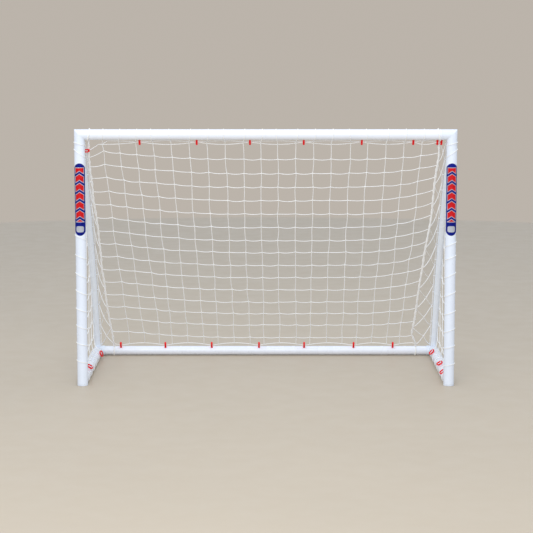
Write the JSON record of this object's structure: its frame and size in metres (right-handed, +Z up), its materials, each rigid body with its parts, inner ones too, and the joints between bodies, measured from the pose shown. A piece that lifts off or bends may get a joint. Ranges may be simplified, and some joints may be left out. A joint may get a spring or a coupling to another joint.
{
  "type": "handball goal",
  "caption": "Free-standing mini handball goal of round plastic tube with bowed side struts, a hung net on red clips and snap-button tube joints",
  "frame": {"origin": "on the floor, halfway between the posts and the rear bar, on the goal's middle plane", "axes": "+X right as seen from the field, +Y from the mouth to the rear bar, +Z up"},
  "size_m": [2.4416, 1.0696, 1.66],
  "materials": {
    "tube": "glossy white rigid plastic tube",
    "corner": "glossy white moulded plastic",
    "twine": "white braided twine",
    "clip": "bright red moulded plastic",
    "label": "printed blue sticker",
    "steel": "plain steel"
  },
  "bodies": {
    "frame": {"post_left": "tube", "post_right": "tube", "crossbar_left": "tube", "crossbar_right": "tube", "base_bar_left": "tube", "base_bar_right": "tube", "rear_bar_left": "tube", "rear_bar_right": "tube", "strut_left": "tube", "strut_right": "tube", "top_corner_left": "corner", "top_corner_right": "corner", "rear_corner_left": "corner", "rear_corner_right": "corner", "foot_cap_left": "corner", "foot_cap_right": "corner", "foot_sleeve_left": "corner", "foot_sleeve_right": "corner", "crossbar_coupler": "corner", "rear_bar_coupler": "corner", "net_back": "twine", "net_left": "twine", "net_right": "twine", "net_strip_left": "twine", "net_strip_right": "twine", "clip_crossbar_1": "clip", "clip_crossbar_2": "clip", "clip_crossbar_3": "clip", "clip_crossbar_4": "clip", "clip_crossbar_5": "clip", "clip_crossbar_6": "clip", "clip_crossbar_7": "clip", "clip_rear_1": "clip", "clip_rear_2": "clip", "clip_rear_3": "clip", "clip_rear_4": "clip", "clip_rear_5": "clip", "clip_rear_6": "clip", "clip_rear_7": "clip", "clip_base_left_1": "clip", "clip_base_left_2": "clip", "clip_base_right_1": "clip", "clip_base_right_2": "clip", "clip_post_left": "clip", "post_label_left": "label", "post_label_right": "label", "lock_top_left_rivet": "steel", "lock_top_right_rivet": "steel", "lock_base_left_rivet": "steel", "lock_base_right_rivet": "steel", "lock_rear_left_rivet": "steel", "lock_rear_right_rivet": "steel", "foot_bolt_left": "steel", "foot_bolt_right": "steel"},
    "button_top_left": {"lock_top_left_button": "steel"},
    "button_top_right": {"lock_top_right_button": "steel"},
    "button_base_left": {"lock_base_left_button": "steel"},
    "button_base_right": {"lock_base_right_button": "steel"},
    "button_rear_left": {"lock_rear_left_button": "steel"},
    "button_rear_right": {"lock_rear_right_button": "steel"}
  },
  "joints": [
    {"name": "button_top_left_press", "type": "hinge", "parent": "frame", "child": "button_top_left", "pos_m": [-1.06, -0.475, 1.626], "axis": [0, 0, 1], "range_deg": [0, 6], "stiffness_Nm_per_rad": 0.6, "springref_deg": -5.73},
    {"name": "button_top_right_press", "type": "hinge", "parent": "frame", "child": "button_top_right", "pos_m": [1.06, -0.475, 1.626], "axis": [0, 0, -1], "range_deg": [0, 6], "stiffness_Nm_per_rad": 0.6, "springref_deg": -5.73},
    {"name": "button_base_left_press", "type": "hinge", "parent": "frame", "child": "button_base_left", "pos_m": [-1.211, -0.4057, 0.034], "axis": [0, 0, 1], "range_deg": [0, 6], "stiffness_Nm_per_rad": 0.6, "springref_deg": -5.73},
    {"name": "button_base_right_press", "type": "hinge", "parent": "frame", "child": "button_base_right", "pos_m": [1.211, -0.4057, 0.034], "axis": [0, 0, -1], "range_deg": [0, 6], "stiffness_Nm_per_rad": 0.6, "springref_deg": -5.73},
    {"name": "button_rear_left_press", "type": "hinge", "parent": "frame", "child": "button_rear_left", "pos_m": [-1.108, 0.525, 0.034], "axis": [0, 0, 1], "range_deg": [0, 6], "stiffness_Nm_per_rad": 0.6, "springref_deg": -5.73},
    {"name": "button_rear_right_press", "type": "hinge", "parent": "frame", "child": "button_rear_right", "pos_m": [1.108, 0.525, 0.034], "axis": [0, 0, -1], "range_deg": [0, 6], "stiffness_Nm_per_rad": 0.6, "springref_deg": -5.73}
  ]
}
